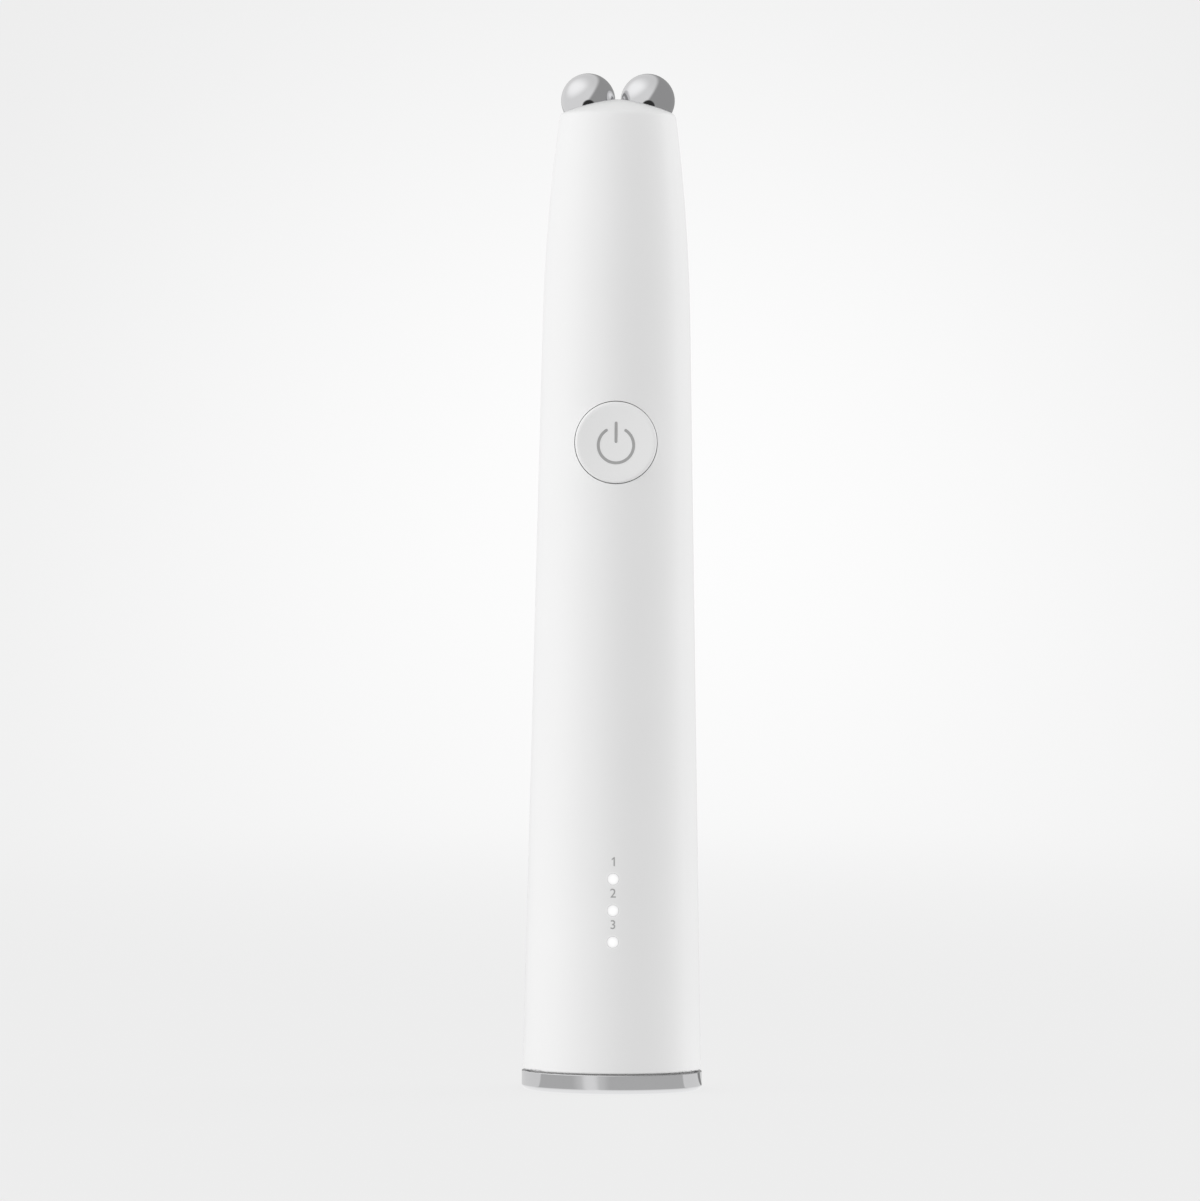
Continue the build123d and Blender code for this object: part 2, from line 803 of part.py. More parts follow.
def switch_square(depth):
    """The square outline of the switch, behind the middle of the button."""
    half_width = switch_width / 2
    return front_block(half_width, depth, (button_z - half_width, button_z + half_width))


def switch_case():
    well = (board_front + switch_floor, switch_front)
    case = switch_square((board_front, switch_front))
    return case - stud(plunger_foot_radius + slide_gap, well, z=button_z)


def switch_cover():
    depth = (switch_front, cover_front)
    return switch_square(depth) - stud(plunger_radius + slide_gap, depth, z=button_z)


def switch_plunger():
    foot = (plunger_back, plunger_back + plunger_foot_thickness)
    plunger = stud(plunger_radius, (plunger_back, plunger_front), z=button_z)
    return plunger + stud(plunger_foot_radius, foot, z=button_z)


# ---- ball electrodes ---------------------------------------------------------------------
def ball_electrode(side):
    """A ball with the stem that holds it in the crown."""
    x = side * ball_pitch / 2
    return Pos(x, 0, ball_z) * Sphere(ball_radius) + post(stem_radius, (stem_low_z, ball_z), x)


def electrode_carrier():
    carrier = within_cavity(post(ring_radius, (carrier_low_z, carrier_top_z)), fit_gap)
    carrier -= electrode_posts(stem_radius + slide_gap, (carrier_low_z, carrier_top_z))
    return carrier - electrode_posts(seal_radius + fit_gap, (seal_pocket_z, carrier_top_z))


def electrode_seals():
    heights = (seal_pocket_z, seal_pocket_z + seal_height)
    ring = post(seal_radius, heights) - post(stem_radius + fit_gap, heights)
    ring = fillet(ring.edges().filter_by(GeomType.CIRCLE), seal_fillet)
    return group(Pos(side * ball_pitch / 2, 0, 0) * ring for side in SIDES)


def electrode_terminals():
    heights = (nut_top_z, carrier_low_z)
    terminal = post(stem_radius + terminal_margin, heights)
    terminal += front_block(barrel_radius, (-terminal_reach, 0), heights)
    terminal += post(barrel_radius, (barrel_low_z, carrier_low_z), y=terminal_reach)
    terminal -= post(stem_radius + fit_gap, heights)
    return group(Pos(side * ball_pitch / 2, 0, 0) * terminal for side in SIDES)


def electrode_nuts():
    outline = RegularPolygon(nut_across_flats / 2, 6, major_radius=False)
    nut = Pos(0, 0, nut_low_z) * extrude(outline, nut_height)
    nut -= post(stem_radius + fit_gap, (nut_low_z, nut_top_z))
    return group(Pos(side * ball_pitch / 2, 0, 0) * nut for side in SIDES)


def electrode_lead(side):
    start_x = side * ball_pitch / 2
    end_x = start_x - side * electrode_lead_inset
    turn_y = electrode_lead_run - board_back
    return lead([
        (start_x, terminal_reach, barrel_low_z),
        (start_x, terminal_reach, electrode_lead_turn_z),
        (end_x, turn_y, electrode_lead_end_z),
        (end_x, -board_back, electrode_lead_end_z),
    ], electrode_lead_radius)


# ---- the assembly ------------------------------------------------------------------------
NODES = {
    "front_shell": front_shell(),
    "rear_shell": rear_shell(),
    "base_ring": base_ring(),
    "base_cap": base_cap(),
    "base_screws": base_screws(),
    "foot_pad": foot_pad(),
    "charge_port": charge_port(),
    "port_tongue": port_tongue(),
    "charge_board": charge_board(),
    "charge_chip": charge_chip(),
    "charge_leads": charge_leads(),
    "inner_chassis": inner_chassis(),
    "main_board": main_board(),
    "board_screws": board_screws(),
    "control_chip": control_chip(),
    "boost_coil": boost_coil(),
    "capacitors": capacitors(),
    "small_board_parts": small_board_parts(),
    "sounder": sounder(),
    "transformer_core": transformer_core(),
    "transformer_winding": transformer_winding(),
    "battery_connector": battery_connector(),
    "battery_cell": battery_cell(),
    "battery_tabs": battery_tabs(),
    "battery_red_lead": battery_lead(1, upper_tab_low_z),
    "battery_black_lead": battery_lead(-1, cell_low_z - tab_thickness),
    "battery_pad": battery_pad(),
    "indicator_leds": indicator_leds(),
    "lamp_shroud": lamp_shroud(),
    "light_guide": light_guide(),
    "power_button": power_button(),
    "button_seal": button_seal(),
    "switch_case": switch_case(),
    "switch_cover": switch_cover(),
    "switch_plunger": switch_plunger(),
    "left_ball_electrode": ball_electrode(-1),
    "right_ball_electrode": ball_electrode(1),
    "electrode_carrier": electrode_carrier(),
    "electrode_seals": electrode_seals(),
    "electrode_terminals": electrode_terminals(),
    "electrode_nuts": electrode_nuts(),
    "left_electrode_lead": electrode_lead(-1),
    "right_electrode_lead": electrode_lead(1),
}

os.makedirs("parts", exist_ok=True)
for name, piece in NODES.items():
    export_step(piece, f"parts/{name}.step")
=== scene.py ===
import json
from functools import partial
from math import atan, cos, hypot, pi, radians, sin, tau

import bmesh
import bpy
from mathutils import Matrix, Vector
from mathutils.bvhtree import BVHTree


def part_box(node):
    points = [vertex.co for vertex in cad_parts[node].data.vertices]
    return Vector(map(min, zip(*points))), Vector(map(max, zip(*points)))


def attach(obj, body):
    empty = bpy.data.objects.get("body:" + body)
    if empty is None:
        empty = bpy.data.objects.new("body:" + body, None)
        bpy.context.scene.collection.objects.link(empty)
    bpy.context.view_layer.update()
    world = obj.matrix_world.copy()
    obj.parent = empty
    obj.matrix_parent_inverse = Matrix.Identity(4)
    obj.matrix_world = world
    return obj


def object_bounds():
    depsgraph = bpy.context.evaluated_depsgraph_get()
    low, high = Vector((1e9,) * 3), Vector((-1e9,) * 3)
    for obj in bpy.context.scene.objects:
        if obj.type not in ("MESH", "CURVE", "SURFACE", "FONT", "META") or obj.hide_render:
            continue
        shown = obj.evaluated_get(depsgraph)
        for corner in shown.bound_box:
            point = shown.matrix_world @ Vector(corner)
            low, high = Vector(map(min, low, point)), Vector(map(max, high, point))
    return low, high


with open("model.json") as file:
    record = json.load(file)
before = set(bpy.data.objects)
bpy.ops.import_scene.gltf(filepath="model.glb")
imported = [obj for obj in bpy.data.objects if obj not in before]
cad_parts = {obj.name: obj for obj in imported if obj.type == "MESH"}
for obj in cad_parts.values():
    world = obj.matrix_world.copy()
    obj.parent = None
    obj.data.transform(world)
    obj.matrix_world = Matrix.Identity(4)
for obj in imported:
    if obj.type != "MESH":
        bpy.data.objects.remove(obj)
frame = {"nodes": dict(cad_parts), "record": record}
nodes = frame["nodes"]
cad_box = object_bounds()

# A slim facial toning wand. Metres, +Z up the wand, the front with the button faces -Y.
# An azimuth is an angle round the wand: 0 in front of it, 90 at +X. All tones are linear.
MM = 0.001

# ---- the photograph's framing --------------------------------------------------------------
IMAGE_SIZE = (1200, 1201)
PIXEL = 0.1478 * MM             # at the wand's axis
BASE_ROW = 1088.4               # where z = 0 lies
AXIS_LOW = (611.7, 1080.0)      # two points of the wand's axis, column and row
AXIS_HIGH = (618.0, 100.0)
CAMERA_DISTANCE = 1.10
SENSOR_WIDTH = 36.0             # millimetres, as the lens

# ---- studio --------------------------------------------------------------------------------
FLOOR_RADIUS = 1.25
BEND_RADIUS = 0.75
WALL_HEIGHT = 0.60
BOWL_STEPS = 96
BEND_STEPS = 16
BACKDROP_PALE = 0.86            # its tone, and the tone at the middle of the glow painted on it
BACKDROP_GLOW = 1.01
GLOW_CENTRE = (0.02, 1.62, 0.105)
GLOW_SQUASH = (1.0, 0.24, 1.0)  # the floor and the bend are seen at a slant there
GLOW_REACH = 0.36
SHADOW_SHARE = 0.12             # share of the floor's tone that is lit, and so takes shadow

# painted reflections, what metal and gloss see of the studio: patches in a direction, each over the ones
# before
# it: azimuth, elevation, inner and outer angle in degrees, tone; the soft box and the flag are only
# painted here
REFLECTED_BASE = 0.78
ROOM_REFLECTION_PATCHES = {                # painted reflections, seen from the balls
    "soft_box": (-81, 51, 0, 51, 1.08),
    "high_dim": (120, 37, 0, 90, 0.69),
    "dark_flag": (100, -35, 90, 103, 0.33),
    "dark_spot": (3, -28, 24, 30, 0.03),
}
FLOOR_REFLECTION_PATCHES = {               # painted reflections on the floor near the wand, seen from the front of its ring
    "floor_behind": (180, 0, 78, 80, 0.70),
    "streak": (-28, 0, 0, 27, 0.62),
    "streak_core": (-29, 0, 0, 13, 0.79),
    "behind_line": (140, 0, 3, 6, 0.25),
}
NEAR_FLOOR_TONE = 0.475         # painted reflection: tone of the floor near the wand, and where that fades out
NEAR_FLOOR_REACH = (60 * MM, 90 * MM)
RING_SPOT = (0, -8.5 * MM, 0)   # where the floor's patches are seen from
FOOT_TONE = 0.95                # painted bright reflection of the floor where the ring's edge meets it
FOOT_REACH = (13.4 * MM, 17.0 * MM)

AIR_TONES = (0.70, 0.745)       # light from all round, from the floor and from above
AIR_BLEND = (-0.5, 0.5)         # heights of a direction between which one turns into the other
LEFT_LIGHT = (-74, 10, 24.6)    # azimuth, elevation, watts
RIGHT_LIGHT = (115, 10, 31.0)
LIGHT_DISTANCE = 2.60           # outside the bowl, which lets their light through
LIGHT_SIZE = 2.31

# ---- lamps and printed marks ---------------------------------------------------------------
LAMP_COUNT = 3
LAMP_GLOW = 0.26                # strength of a lamp's own light at its middle
GLOW_INNER = 0.30 * MM          # where it begins to fade, out into the shell round it as a painted glow
GLOW_OUTER = 1.20 * MM
LENS_REACH = 0.40 * MM          # of a lens's tip behind its face

MARK_LIFT = 0.02 * MM           # of the ink's film off the surface
MARK_TONE = 0.41
FAR_AHEAD = 1.0                 # in front of the wand, where the rays start that find its surface
SYMBOL_RADIUS = 2.59 * MM
SYMBOL_STROKE = 0.42 * MM
SYMBOL_DROP = 0.40 * MM         # of its circle's centre below the button's
SYMBOL_GAP = 33                 # degrees each side of the top
BAR_BOTTOM = 0.54 * MM          # above the circle's centre
BAR_TOP = 3.24 * MM
STROKE_STEPS = 48
CAP_STEPS = 6
ONE = (                         # a plain 1 of height 1, as the font's own is a bare bar
    (0.07, 0.50), (0.07, -0.50), (-0.07, -0.50), (-0.07, 0.29),
    (-0.28, 0.15), (-0.28, 0.30), (-0.04, 0.50),
)
NUMERAL_HEIGHT = 1.30 * MM
NUMERAL_RISE = 2.57 * MM        # of a numeral's middle above its lamp

# ---- exact shading of the turned outsides --------------------------------------------------
GUIDE_STEPS = 240
GUIDE_REACH = 0.02 * MM         # of a point on the outside from the guide
GUIDE_TURN = 35                 # degrees between its normal and the guide's

# ---- finishes ------------------------------------------------------------------------------
PLASTIC_IOR = 1.48
SILICONE_IOR = 1.42
DUST_TONE = 0.6
MOTTLE_SIZE = 12 * MM           # of the trace of mottle in moulded plastic
COARSE_GRAIN = 0.006 * MM       # depth of the grain on hidden plastic


# ---- mesh helpers --------------------------------------------------------------------------
def in_scene(name, data):
    """A new object for some data, in the scene's own collection."""
    piece = bpy.data.objects.new(name, data)
    bpy.context.scene.collection.objects.link(piece)
    return piece


def mesh_object(name, points, faces):
    """A new smooth mesh object in the scene."""
    mesh = bpy.data.meshes.new(name)
    mesh.from_pydata(points, [], faces)
    mesh.polygons.foreach_set("use_smooth", [True] * len(mesh.polygons))
    return in_scene(name, mesh)


def revolved(name, profile, steps):
    """A profile of (radius, z) turned about Z. Its faces look outward where the profile goes up."""
    points = []
    for radius, z in profile:
        points += [(radius * cos(tau * n / steps), radius * sin(tau * n / steps), z) for n in range(steps)]
    faces = []
    for row in range(len(profile) - 1):
        for n in range(steps):
            a = row * steps + n
            b = row * steps + (n + 1) % steps
            faces.append((a, b, b + steps, a + steps))
    return mesh_object(name, points, faces)


def surface_of(node):
    """A node's surface, to cast rays at or to measure from."""
    mesh = node.data
    return BVHTree.FromPolygons([v.co for v in mesh.vertices], [p.vertices for p in mesh.polygons])


# ---- exact shading of the turned outsides --------------------------------------------------
def turned_profile(names):
    """The outside of nodes that were turned about Z, as (radius, z) from the bottom up."""
    spots = {(hypot(v.co.x, v.co.y), v.co.z) for name in names for v in nodes[name].data.vertices}
    chain = []
    for spot in sorted(spots, key=lambda spot: (spot[1], spot[0])):
        while len(chain) > 1 and bends_inward(chain[-2], chain[-1], spot):
            chain.pop()
        chain.append(spot)
    return chain


def bends_inward(a, b, c):
    """Whether b lies on or inside the line from a to c."""
    return (b[0] - a[0]) * (c[1] - a[1]) <= (c[0] - a[0]) * (b[1] - a[1])


def profile_normals(profile):
    """Outward (radius, z) at each point: halfway between the two runs that meet there, but at both
    ends of the longest run, which is straight and ends in smooth curves, the run's own."""
    runs = [Vector(end) - Vector(start) for start, end in zip(profile, profile[1:])]
    sides = [Vector((run.y, -run.x)).normalized() for run in runs]
    normals = [sides[0]] + [(a + b).normalized() for a, b in zip(sides, sides[1:])] + [sides[-1]]
    longest = runs.index(max(runs, key=lambda run: run.length))
    normals[longest] = normals[longest + 1] = sides[longest]
    return normals


def turned_guide(name, profile):
    """A hidden turned surface with exact normals."""
    guide = revolved(name, profile, GUIDE_STEPS)
    guide.hide_render = True
    turns = [tau * n / GUIDE_STEPS for n in range(GUIDE_STEPS)]
    normals = [(out * cos(t), out * sin(t), up) for out, up in profile_normals(profile) for t in turns]
    guide.data.normals_split_custom_set_from_vertices(normals)
    return guide


def shade_as_turned(names):
    """Give the outside of these nodes the normals of one fine turned surface."""
    guide = turned_guide(names[0] + "_guide", turned_profile(names))
    surface = surface_of(guide)
    for name in names:
        group = nodes[name].vertex_groups.new(name="outside")
        for vertex in nodes[name].data.vertices:
            normal, distance = surface.find_nearest(vertex.co)[1::2]
            if distance < GUIDE_REACH and normal.dot(vertex.normal) > cos(radians(GUIDE_TURN)):
                group.add([vertex.index], 1.0, "REPLACE")
        transfer = nodes[name].modifiers.new("turned_normals", "DATA_TRANSFER")
        transfer.object = guide
        transfer.use_loop_data = True
        transfer.data_types_loops = {"CUSTOM_NORMAL"}
        transfer.loop_mapping = "POLYINTERP_NEAREST"
        transfer.vertex_group = group.name


# ---- material helpers ----------------------------------------------------------------------
class Shader:
    """A material or world under construction: adds and links its nodes in short calls."""

    def __init__(self, owner):
        owner.use_nodes = True
        self.tree = owner.node_tree
        self.tree.nodes.clear()

    def add(self, kind, values=None, **settings):
        """A node with its settings, and with the given inputs set or linked."""
        node = self.tree.nodes.new("ShaderNode" + kind)
        for key, value in settings.items():
            setattr(node, key, value)
        for key, value in (values or {}).items():
            if isinstance(value, bpy.types.NodeSocket):
                self.tree.links.new(value, node.inputs[key])
            else:
                node.inputs[key].default_value = value
        return node

    def math(self, operation, *operands):
        """A number worked out from others."""
        return self.add("Math", dict(enumerate(operands)), operation=operation).outputs[0]

    def vector(self, operation, *operands):
        """A vector worked out from others, or a number where the operation gives one."""
        node = self.add("VectorMath", dict(enumerate(operands)), operation=operation)
        return node.outputs["Value" if operation in ("DISTANCE", "DOT_PRODUCT", "LENGTH") else "Vector"]

    def place(self):
        """Where a point lies on its object, in metres."""
        return self.add("TexCoord").outputs["Object"]

    def noise(self, place, scale, detail=2.0):
        """Soft noise from 0 to 1, with a scale of blotches to the metre."""
        return self.add("TexNoise", {"Vector": place, "Scale": scale, "Detail": detail}).outputs["Fac"]

    def between(self, value, low, high, start=0.0, end=1.0, steps="LINEAR"):
        """From low to high as the value goes from start to end."""
        values = {0: value, 1: start, 2: end, 3: low, 4: high}
        return self.add("MapRange", values, interpolation_type=steps).outputs[0]

    def blend(self, share, first, second):
        """A colour between two others."""
        mix = self.add("Mix", {0: share}, data_type="RGBA")
        for key, value in ((6, first), (7, second)):
            if isinstance(value, bpy.types.NodeSocket):
                self.tree.links.new(value, mix.inputs[key])
            else:
                mix.inputs[key].default_value = value
        return mix.outputs[2]

    def mottled(self, place, colour, size, amount):
        """A colour that wanders a little round its mean, in blotches of a size."""
        dark = [channel * (1 - amount) for channel in colour] + [1.0]
        light = [min(1.0, channel * (1 + amount)) for channel in colour] + [1.0]
        return self.blend(self.noise(place, 1 / size), dark, light)

    def relief(self, height, depth):
        """A normal for a height that runs from 0 to 1 over a depth."""
        return self.add("Bump", {"Height": height, "Distance": depth}).outputs[0]

    def surface(self, values):
        """End in the principled shader."""
        shader = self.add("BsdfPrincipled", values)
        self.finish(shader.outputs[0])

    def finish(self, shader):
        """End in a given shader."""
        self.add("OutputMaterial", {"Surface": shader})


def grey(tone):
    """A tone as an opaque colour."""
    return (tone, tone, tone, 1.0)


# ---- finishes ------------------------------------------------------------------------------
def moulded(shader, colour, roughness=0.45, grain=0.20 * MM, depth=0.002 * MM, mottle=0.012):
    """Moulded plastic: a fine spark-eroded grain, a slightly uneven gloss and a trace of mottle."""
    place = shader.place()
    return {
        "Base Color": shader.mottled(place, colour, MOTTLE_SIZE, mottle),
        "Roughness": shader.between(shader.noise(place, 0.2 / grain), roughness * 0.92, roughness * 1.08),
        "Normal": shader.relief(shader.noise(place, 1 / grain, 3.0), depth),
        "IOR": PLASTIC_IOR,
    }


def rubber(shader, colour, roughness=0.75):
    """Silicone, soft vinyl or foam skin: matt, with dust caught in its surface."""
    place = shader.place()
    dust = shader.between(shader.noise(place, 1 / (0.15 * MM), 5.0), 0.0, 0.25, 0.55, 0.75)
    plain = shader.mottled(place, colour, 3 * MM, 0.04)
    return {
        "Base Color": shader.blend(dust, plain, grey(DUST_TONE)),
        "Roughness": shader.between(shader.noise(place, 1 / MM), roughness * 0.9, roughness * 1.1),
        "Normal": shader.relief(shader.noise(place, 1 / (0.1 * MM)), 0.004 * MM),
        "IOR": SILICONE_IOR,
    }


def plated(shader, colour, roughness=0.03, haze=0.04):
    """Polished plating with a faint haze of wiping marks."""
    place = shader.place()
    wiped = shader.vector("MULTIPLY", place, (1.0, 1.0, 0.25))
    return {
        "Base Color": shader.mottled(place, colour, 2 * MM, 0.01),
        "Metallic": 1.0,
        "Roughness": shader.between(shader.noise(wiped, 1 / (1.2 * MM), 4.0), roughness, roughness + haze),
    }


def machined(shader, colour, roughness=0.3):
    """Metal with fine tool marks."""
    place = shader.place()
    marks = shader.noise(shader.vector("MULTIPLY", place, (0.15, 0.15, 1.0)), 1 / (0.05 * MM), 3.0)
    return {
        "Base Color": shader.mottled(place, colour, MM, 0.06),
        "Metallic": 1.0,
        "Roughness": shader.between(marks, roughness * 0.7, roughness * 1.4),
        "Normal": shader.relief(marks, 0.003 * MM),
    }


def ceramic(shader, colour, roughness=0.6):
    """Sintered ferrite or a fired chip part: a dense speckle and small pits."""
    place = shader.place()
    pits = shader.add("TexVoronoi", {"Vector": place, "Scale": 1 / (0.12 * MM)}).outputs["Distance"]
    return {
        "Base Color": shader.mottled(place, colour, 0.15 * MM, 0.18),
        "Roughness": shader.between(pits, roughness * 1.2, roughness * 0.8),
        "Normal": shader.relief(pits, 0.006 * MM),
    }


def laminate(shader, colour):
    """A circuit board: glass weave under solder mask, with paler mask over its copper tracks."""
    place = shader.place()
    weave = shader.add("TexChecker", {"Vector": place, "Scale": 1 / (0.35 * MM)}).outputs["Fac"]
    tracks = shader.add("TexBrick", {
        "Vector": place, "Scale": 1 / (6 * MM), "Mortar Size": 0.06, "Color1": grey(0), "Color2": grey(0),
        "Mortar": grey(1),
    }).outputs["Color"]
    copper = [channel * 1.6 for channel in colour] + [1.0]
    return {
        "Base Color": shader.blend(tracks, shader.mottled(place, colour, 4 * MM, 0.08), copper),
        "Roughness": shader.between(weave, 0.30, 0.36),
        "Normal": shader.relief(weave, 0.003 * MM),
    }


def wound(shader, colour):
    """Enamelled copper wire, turn beside turn."""
    place = shader.place()
    turns = shader.add("TexWave", {
        "Vector": place, "Scale": 1 / (1.6 * MM), "Distortion": 0.4,
    }, bands_direction="Z").outputs["Fac"]
    # painted shade: darker in the grooves between turns, where the relief is low
    dark = [channel * 0.35 for channel in colour] + [1.0]
    return {
        "Base Color": shader.blend(turns, dark, list(colour) + [1.0]),
        "Metallic": 0.9,
        "Roughness": shader.between(shader.noise(place, 1 / MM), 0.22, 0.34),
        "Normal": shader.relief(turns, 0.05 * MM),
    }


def shrink_wrapped(shader, colour):
    """Glossy heat-shrunk film, a little wrinkled."""
    place = shader.place()
    wrinkles = shader.noise(shader.vector("MULTIPLY", place, (1.0, 1.0, 0.3)), 1 / (3 * MM), 4.0)
    return {
        "Base Color": shader.mottled(place, colour, 8 * MM, 0.05),
        "Roughness": shader.between(wrinkles, 0.16, 0.30),
        "Normal": shader.relief(wrinkles, 0.08 * MM),
    }


def foamed(shader, colour):
    """Open-celled foam."""
    place = shader.place()
    cells = shader.add("TexVoronoi", {"Vector": place, "Scale": 1 / (0.4 * MM)}).outputs["Distance"]
    # painted shade: darker in the pits of the cells, where the relief is low
    dark = [channel * 0.45 for channel in colour] + [1.0]
    return {
        "Base Color": shader.blend(cells, dark, list(colour) + [1.0]),
        "Roughness": shader.between(cells, 0.85, 0.95),
        "Normal": shader.relief(cells, 0.15 * MM),
    }


def lit_lens(shader, colour):
    """The clear moulded face of a lamp that is on."""
    return moulded(shader, colour, roughness=0.22, depth=0.001 * MM) | lamp_glow(shader)


def lit_shell(shader, colour):
    """The white shell, with a painted glow of its own round each lamp, which stands in for the lamps'
    light in it.
    """
    return moulded(shader, colour, roughness=0.48) | lamp_glow(shader)


def lamp_glow(shader):
    """Emission of the lamps: the lens's own glow, and a painted glow on the shell round it, on the front
    of the wand only, which fades from the middle of each.
    """
    place = shader.place()
    glow = 0.0
    for x, z in lamp_places():
        away = shader.vector("LENGTH", shader.vector("MULTIPLY_ADD", place, (1, 0, 1), (-x, 0, -z)))
        light = shader.between(away, LAMP_GLOW, 0.0, GLOW_INNER, GLOW_OUTER, "SMOOTHSTEP")
        glow = shader.math("MAXIMUM", glow, light)
    ahead = shader.vector("DOT_PRODUCT", place, (0, -1, 0))
    front = shader.math("GREATER_THAN", ahead, 0.0)
    return {"Emission Color": grey(1.0), "Emission Strength": shader.math("MULTIPLY", glow, front)}


def lamp_places():
    """Centre (x, z) of each lamp's face, from the bottom up, from the box of the lens they share."""
    low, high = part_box("light_guide")
    tips = [v.co for v in nodes["light_guide"].data.vertices if v.co.y < low.y + LENS_REACH]
    bottom = min(tip.z for tip in tips)
    top = max(tip.z for tip in tips)
    radius = (max(tip.x for tip in tips) - min(tip.x for tip in tips)) / 2
    pitch = (top - bottom - 2 * radius) / (LAMP_COUNT - 1)
    return [((low.x + high.x) / 2, bottom + radius + pitch * n) for n in range(LAMP_COUNT)]


FINISHES = {
    "shell_white": lit_shell,
    "button_white": partial(moulded, roughness=0.40),
    "cap_white": partial(moulded, roughness=0.55, depth=0.004 * MM),
    "polished_chrome": plated,
    "pad_silicone": rubber,
    "seal_silicone": partial(rubber, roughness=0.6),
    "steel": machined,
    "nickel": partial(plated, roughness=0.18, haze=0.12),
    "tinned_brass": machined,
    "chassis_plastic": partial(moulded, roughness=0.6, depth=COARSE_GRAIN),
    "board_laminate": laminate,
    "component_black": partial(moulded, roughness=0.6, depth=COARSE_GRAIN),
    "component_tan": ceramic,
    "ferrite": ceramic,
    "copper_winding": wound,
    "connector_white": partial(moulded, roughness=0.5),
    "lamp_lens": lit_lens,
    "led_package": partial(moulded, roughness=0.35, mottle=0.05),
    "cell_wrap": shrink_wrapped,
    "foam": foamed,
} | {f"lead_{colour}": partial(rubber, roughness=0.4) for colour in ("red", "black", "white", "blue")}


def dress_nodes():
    """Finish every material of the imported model, in the record's own colours."""
    for row in frame["record"]["materials"]:
        shader = Shader(bpy.data.materials[row["slot"]])
        shader.surface(FINISHES[row["slot"]](shader, row["base_color"]))


# ---- printed marks -------------------------------------------------------------------------
def ink():
    """Grey pad-printing ink, slightly uneven in cover."""
    material = bpy.data.materials.new("mark_ink")
    shader = Shader(material)
    place = shader.place()
    shader.surface({
        "Base Color": shader.mottled(place, (MARK_TONE,) * 3, 0.3 * MM, 0.06),
        "Roughness": shader.between(shader.noise(place, 1 / (0.2 * MM)), 0.42, 0.52),
        "Normal": shader.relief(shader.noise(place, 1 / (0.1 * MM)), 0.002 * MM),
    })
    return material


def stroke(middle, width):
    """The rim, in (x, z), of a line of a width with round ends along a path."""
    path = [Vector(spot) for spot in middle]
    half = width / 2
    left = []
    right = []
    for n, spot in enumerate(path):
        along = (path[min(n + 1, len(path) - 1)] - path[max(n - 1, 0)]).normalized()
        across = Vector((-along.y, along.x)) * half
        left.append(spot + across)
        right.append(spot - across)
    return left + round_end(path[-1], left[-1]) + right[::-1] + round_end(path[0], right[0])


def round_end(centre, start):
    """Points of the half circle that begins past a start and turns clockwise about a centre."""
    arm = start - centre
    turns = [-pi * n / CAP_STEPS for n in range(1, CAP_STEPS)]
    arms = [(arm.x * cos(t) - arm.y * sin(t), arm.x * sin(t) + arm.y * cos(t)) for t in turns]
    return [centre + Vector(turned) for turned in arms]


def power_symbol(x, z):
    """Rims of an open circle and an upright bar about a centre."""
    start = radians(90 - SYMBOL_GAP)
    sweep = tau - 2 * radians(SYMBOL_GAP)
    turns = [start - sweep * n / STROKE_STEPS for n in range(STROKE_STEPS + 1)]
    circle = [(x + SYMBOL_RADIUS * cos(t), z + SYMBOL_RADIUS * sin(t)) for t in turns]
    bar = [(x, z + BAR_BOTTOM), (x, z + BAR_TOP)]
    return [stroke(path, SYMBOL_STROKE) for path in (circle, bar)]


def filled(name, rims):
    """A flat mesh in (x, z) that fills closed rims."""
    shape = bmesh.new()
    for rim in rims:
        corners = [shape.verts.new((spot.x, 0, spot.y)) for spot in rim]
        for n, corner in enumerate(corners):
            shape.edges.new((corners[n - 1], corner))
        bmesh.ops.triangle_fill(shape, edges=[edge for edge in shape.edges if not edge.link_faces],
                                use_beauty=True)
    mesh = bpy.data.meshes.new(name)
    shape.to_mesh(mesh)
    shape.free()
    return mesh


def font_mesh(name, text):
    """Lettering in the built-in font, flat in (x, z)."""
    curve = bpy.data.curves.new(name, "FONT")
    curve.body = text
    letter = in_scene(name, curve)
    mesh = bpy.data.meshes.new_from_object(letter)
    bpy.data.objects.remove(letter)
    for vertex in mesh.vertices:
        vertex.co = (vertex.co.x, 0, vertex.co.y)
    return mesh


def numeral_mesh(name, number, x, z):
    """A plain numeral of the standard height about a centre, flat in (x, z)."""
    if number == 1:
        mesh = filled(name, [[Vector(corner) for corner in ONE]])
    else:
        mesh = font_mesh(name, str(number))
    low = Vector([min(v.co[axis] for v in mesh.vertices) for axis in range(3)])
    high = Vector([max(v.co[axis] for v in mesh.vertices) for axis in range(3)])
    scale = NUMERAL_HEIGHT / (high.z - low.z)
    for vertex in mesh.vertices:
        vertex.co = Vector((x, 0, z)) + (vertex.co - (low + high) / 2) * scale
    return mesh


def print_mark(name, mesh, node, body, material):
    """Lay a flat mesh on the front of a node as a thin film of ink."""
    surface = surface_of(nodes[node])
    for vertex in mesh.vertices:
        hit = surface.ray_cast(Vector((vertex.co.x, -FAR_AHEAD, vertex.co.z)), Vector((0, 1, 0)))[0]
        vertex.co.y = hit.y - MARK_LIFT
    mesh.materials.clear()
    mesh.materials.append(material)
    mark = in_scene(name, mesh)
    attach(mark, body)


